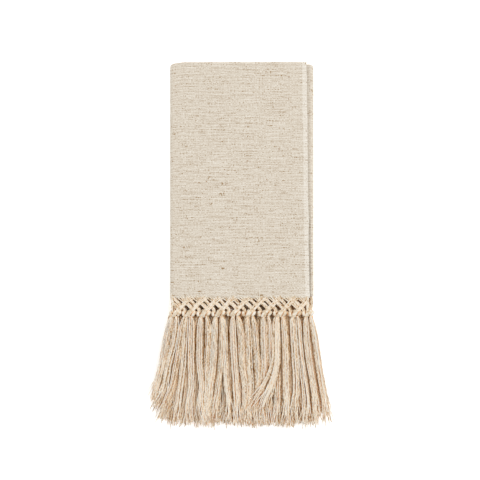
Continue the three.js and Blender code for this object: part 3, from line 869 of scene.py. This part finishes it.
# sideways place at each of the six, end, yarns, lift over the neighbours, how far the tips flare
BUNDLES = [
    ((-62.0, -66.4, -70.1, -75.3, -79.4, -83.0), 301, 28, 0.0, 1.0),
    ((-56.5, -59.6, -64.3, -68.1, -73.9, -79.0), 307, 28, 0.0, 1.0),
    ((-51.2, -53.6, -57.0, -61.7, -67.1, -73.2), 318, 20, 0.0, 1.0),
    ((-48.4, -50.0, -51.4, -54.2, -56.2, -60.3), 321, 20, 0.2, 1.0),
    ((-43.4, -44.1, -44.3, -44.0, -46.0, -46.6), 322, 28, 0.0, 1.0),
    ((-36.0, -36.5, -36.7, -35.1, -36.1, -34.1), 323, 30, 0.0, 1.0),
    ((-29.2, -28.7, -30.3, -31.2, -32.0, -32.0), 322, 24, -0.3, 1.0),
    ((-22.9, -23.7, -25.0, -28.1, -29.4, -31.2), 323, 30, 0.4, 1.0),
    ((-16.6, -16.9, -17.6, -20.3, -23.0, -26.7), 321, 18, 0.0, 1.0),
    ((-14.9, -14.0, -13.6, -12.7, -10.7, -10.2), 322, 18, 0.2, 1.0),
    ((-7.3, -6.9, -5.8, -4.3, -3.6, -3.9), 323, 28, 0.0, 1.0),
    ((-1.5, 0.7, 1.4, 3.9, 4.3, 4.3), 323, 28, 0.0, 1.0),
    ((5.3, 6.7, 7.3, 8.7, 8.0, 9.1), 322, 26, 0.0, 1.0),
    ((11.6, 13.1, 14.6, 15.1, 13.8, 13.1), 323, 26, 0.0, 1.0),
    ((19.6, 20.2, 20.6, 19.0, 17.6, 18.2), 322, 28, 0.0, 1.0),
    ((25.3, 25.6, 25.8, 24.5, 24.0, 23.1), 323, 18, -0.4, 1.0),
    ((31.0, 31.2, 30.6, 24.4, 17.8, 11.6), 308, 46, 3.3, 2.1),
    ((32.6, 32.9, 32.9, 32.9, 32.5, 30.3), 323, 16, -0.3, 1.0),
    ((38.2, 39.3, 40.1, 40.7, 41.4, 40.7), 324, 30, 0.0, 1.0),
    ((45.2, 46.9, 48.2, 49.2, 47.9, 48.1), 323, 24, 0.0, 1.0),
    ((50.7, 51.8, 54.0, 56.7, 58.1, 56.7), 324, 28, 0.0, 1.0),
    ((57.3, 58.4, 61.1, 64.9, 66.6, 67.6), 324, 28, 0.0, 1.0),
    ((62.6, 66.2, 69.0, 72.4, 75.1, 76.8), 322, 26, 0.0, 1.0),
]
print("bundles on the layer that shows:", len(BUNDLES))

# %% Course of a bundle
def course_of(stations, down):
    """Sideways place of a bundle's middle at each down, smooth through its stations."""
    x = np.array(stations)
    slopes = np.gradient(x, COURSE_DOWNS)
    n = np.clip(np.searchsorted(COURSE_DOWNS, down, side="right") - 1, 0, len(x) - 2)
    span = COURSE_DOWNS[n + 1] - COURSE_DOWNS[n]
    t = np.clip((down - COURSE_DOWNS[n]) / span, 0, 1)
    return (
        (2 * t**3 - 3 * t**2 + 1) * x[n]
        + (t**3 - 2 * t**2 + t) * span * slopes[n]
        + (3 * t**2 - 2 * t**3) * x[n + 1]
        + (t**3 - t**2) * span * slopes[n + 1]
    )


def smooth_step(value):
    value = np.clip(value, 0, 1)
    return value * value * (3 - 2 * value)


print("first bundle half way down:", course_of(BUNDLES[0][0], np.array([275.0])).round(1), "mm sideways")

# %% Yarns of one bundle
ROOT_DOWN = 225.8

# yarns in a plain bundle, and how its half width grows over the shares of its length
PLAIN_BUNDLE = 28
LENGTH_SHARES = [0, 0.03, 0.1, 0.3, 0.6, 1]
WIDTH_GROWTH = [0.32, 0.62, 0.86, 0.94, 1.0, 1.22]

# in radians
FULL_TURN = 6.28
HALF_TURN = 3.14

# half width of a plain bundle, least half width, half depths at knot and tips, and how far it is raised
SHOWN_FORM = (3.3, 0.0, (2.0, 1.2), 0.5)
HIDDEN_FORM = (6.6, 4.2, (0.75, 0.5), -0.2)


def bundle_yarns(level, bundle, count, yarn_radius, form, dice_here):
    """Courses of the yarns of one bundle: (yarns, count, 3), their radii and their tones."""
    stations, end, yarns, lift, flare = bundle
    half_width, least, half_depth, raised = form

    # where each yarn lies in the bundle's round section, from its middle outwards
    spread = np.sqrt((np.arange(yarns) + 0.5) / yarns)
    turn_angle = np.arange(yarns) * 2.4 + dice_here.uniform(0, FULL_TURN)
    own = np.stack([spread * np.cos(turn_angle), spread * np.sin(turn_angle)], axis=-1)

    # towards the tips the bundle parts into a few tufts
    tufts = dice_here.uniform(-0.8, 0.8, (5, 2))
    nearest = np.argmin(((own[:, None] - tufts[None]) ** 2).sum(-1), axis=1)
    parted = tufts[nearest] + 0.5 * (own - tufts[nearest])

    # yarns cling together in strands of about 2 mm; those between two strands sink in and get painted shade
    furrow = 1 - np.abs(np.sin(own[:, 0] * 4.5 + dice_here.uniform(0, HALF_TURN))) ** 0.6

    ends = end + dice_here.normal(0.4, 1.6, yarns) - 13 * dice_here.random(yarns) ** 3
    share = np.linspace(0, 1, count)[None, :] ** 0.9
    down = ROOT_DOWN + (ends[:, None] - ROOT_DOWN) * share
    part = 0.9 * smooth_step((share - 0.25) / 0.55)[:, :, None]
    local = own[:, None] * (1 - part) + parted[:, None] * part
    wide = np.interp(share, LENGTH_SHARES, WIDTH_GROWTH) * half_width
    wide = wide * math.sqrt(yarns / PLAIN_BUNDLE) * (1 + (flare - 1) * smooth_step((share - 0.4) / 0.6))
    wide = np.maximum(wide, least)
    deep = half_depth[0] + (half_depth[1] - half_depth[0]) * share
    x = course_of(stations, down) + local[:, :, 0] * wide

    # at its root a bundle is drawn in under its own knot
    knots_here = knots_of(level)
    own_knot = knots_here[np.argmin(abs(knots_here - stations[0]))]
    x += 0.3 * (own_knot - stations[0]) * np.exp(-(down - ROOT_DOWN) / 4)

    # long waves, small waves, a lean of its own and frayed ends
    phase = dice_here.uniform(0, FULL_TURN, (4, yarns, 1))
    length = dice_here.uniform(8, 17, (2, yarns, 1))
    x += (0.06 + 0.16 * share) * np.sin(down / length[0] * FULL_TURN + phase[0])
    x += (0.1 + 0.16 * share**2) * np.sin(down / 3.1 + phase[2])
    x += dice_here.normal(0, 0.55, (yarns, 1)) * share**2
    x += dice_here.normal(0, 2.0, (yarns, 1)) * np.clip((share - 0.78) / 0.22, 0, 1) ** 1.5

    # height over the layer's middle: low at the knot, and lifted where the bundle lies over its neighbours
    rise = local[:, :, 1] * deep + (0.05 + 0.12 * share) * np.sin(down / length[1] * FULL_TURN + phase[1])
    at_knot = 1.3 * np.exp(-(down - ROOT_DOWN) / 1.6)
    thrown_over = lift * smooth_step((down - 236) / 30)
    rise = rise + raised - 1.0 * furrow[:, None] - at_knot + thrown_over
    points = lay(level, x, down, rise)
    radius = np.full((yarns, count), yarn_radius) * dice_here.uniform(0.85, 1.12, (yarns, 1))
    radius = radius * np.interp(share, [0, 0.93, 1], [1, 1, 0.6])
    points[:, :, 2] = np.maximum(points[:, :, 2], radius)
    # the random part of the tone is the yarn's own; the rest is painted shade, lighter for yarns high in the
    # bundle, darker for low ones and for those sunk between strands
    tone = 0.68 + 0.14 * own[:, 1] + dice_here.normal(0, 0.15, yarns) - 0.45 * furrow
    return points, radius, tone


print("yarns on the layer that shows:", sum(row[2] for row in BUNDLES))

# %% Build the tassels that show
YARN_SIDES = 3
SHOWN_POINTS = 38
SHOWN_RADIUS = 0.47
dice_shown = np.random.default_rng(11)
shown_parts = []
for bundle in BUNDLES:
    points, radius, tone = bundle_yarns(
        SHOWN_LEVEL, bundle, SHOWN_POINTS, SHOWN_RADIUS, SHOWN_FORM, dice_shown
    )
    shown_parts.append(tubes(points, radius, YARN_SIDES, tone))
shown_tassels = yarn_piece("front_tassels_shown", shown_parts, "front_fringe")

# %% Build the tassels underneath
KNOT_TO_BUNDLE = 3.1
FURTHEST_ROOTS = (-61.0, 60.3)
COURSE_LENGTH = 92
HIDDEN_END = 322


def hidden_bundles(level, yarns, dice_here):
    """Two bundles under each knot of a hidden layer, spread as far as those that show."""
    rows = []
    for knot_x in knots_of(level):
        for side in (-KNOT_TO_BUNDLE, KNOT_TO_BUNDLE):
            root = np.clip(knot_x + side, *FURTHEST_ROOTS)
            tip = root * 1.2 - 1.0 + dice_here.normal(0, 1.4)
            drift = root + (tip - root) * (COURSE_DOWNS - COURSE_DOWNS[0]) / COURSE_LENGTH
            drift = drift + dice_here.normal(0, 0.7) * np.sin((COURSE_DOWNS - 227) / 30)
            outermost = max(0, abs(tip + 1) - 62) / 15
            end = HIDDEN_END - 16 * min(outermost, 1.1) + dice_here.normal(0, 1.2)
            rows.append((drift, end, yarns, 0.0, 1.0))
    return rows


def hidden_tassels(level, yarns, count, yarn_radius):
    dice_here = np.random.default_rng(60 + level)
    parts = []
    for bundle in hidden_bundles(level, yarns, dice_here):
        points, radius, tone = bundle_yarns(level, bundle, count, yarn_radius, HIDDEN_FORM, dice_here)
        # the yarns of a hidden layer get painted shade, as they lie in shade under the layer above
        parts.append(tubes(points, radius, YARN_SIDES, tone - TASSEL_PAINTED_SHADE[level]))
    return parts


# yarns in a bundle, points along a yarn and its radius: few and thick in the layers that are hardly seen
NEXT_YARNS = (16, 24, 0.5)
DEEP_YARNS = (10, 14, 0.62)
back_parts = hidden_tassels(4, *NEXT_YARNS) + hidden_tassels(3, *DEEP_YARNS) + hidden_tassels(0, *DEEP_YARNS)
back_tassels = yarn_piece("back_tassels", back_parts, "back_fringe")
under_parts = hidden_tassels(2, *DEEP_YARNS) + hidden_tassels(1, *DEEP_YARNS)
under_tassels = yarn_piece("front_tassels_under", under_parts, "front_fringe")

# %% [markdown]
# ## Husk specks
# Unbleached cotton keeps specks of seed husk. Each is a flat brown flake, about a millimetre across,
# pressed into the top layer. They are listed one by one, because a random scatter gives clusters.

# %% Husk specks
husk, husk_tree, husk_shader = start_material("cotton_seed_husk", 0.8, 0.0)
husk_noise = add_node(husk_tree, "ShaderNodeTexNoise", values={"Scale": 1 / (0.5 * MM), "Detail": 2.0})
husk_tone = add_node(
    husk_tree,
    "ShaderNodeMix",
    {"data_type": "RGBA"},
    {"A": linear("#8a5a30"), "B": linear("#b58a5c")},
    {"Factor": (husk_noise, "Fac")},
)
husk_tree.links.new(husk_tone.outputs["Result"], husk_shader.inputs["Base Color"])

# sideways, down, half width
SPECKS = [
    (42.7, 13.5, 0.55), (42.3, 33.1, 0.45), (-10.7, 32.2, 0.4), (-18.7, 55.8, 0.4), (33.8, 77.6, 0.55),
    (5.3, 88.3, 0.45), (-14.7, 95.8, 0.4), (43.6, 95.8, 0.45), (-30.7, 106.5, 0.5), (22.9, 104.9, 0.5),
    (-13.4, 109.6, 0.4), (-10.2, 147.4, 0.45), (23.1, 182.6, 0.45), (5.3, 157.7, 0.45), (-24.9, 157.7, 0.4),
    (33.8, 156.8, 0.4), (-56.5, 176.4, 0.4), (-58.3, 21.5, 0.4),
]
flakes = []
for x, down, half in SPECKS:
    centre = lay(SHOWN_LEVEL, np.array(x), np.array(down), CLOTH_THICKNESS / 2 + 0.22)
    line = centre + np.array([[-half, 0, 0], [0, 0, 0.06], [half, 0.1, 0]])
    flakes.append(tubes(line[None], np.array([[0.05, 0.42 * half / 0.45, 0.05]]), 6, np.array([0.5])))
speck_points, speck_quads, speck_uv, _ = gather(flakes)
specks = mesh_piece("husk_specks", speck_points, speck_quads, speck_uv, husk)
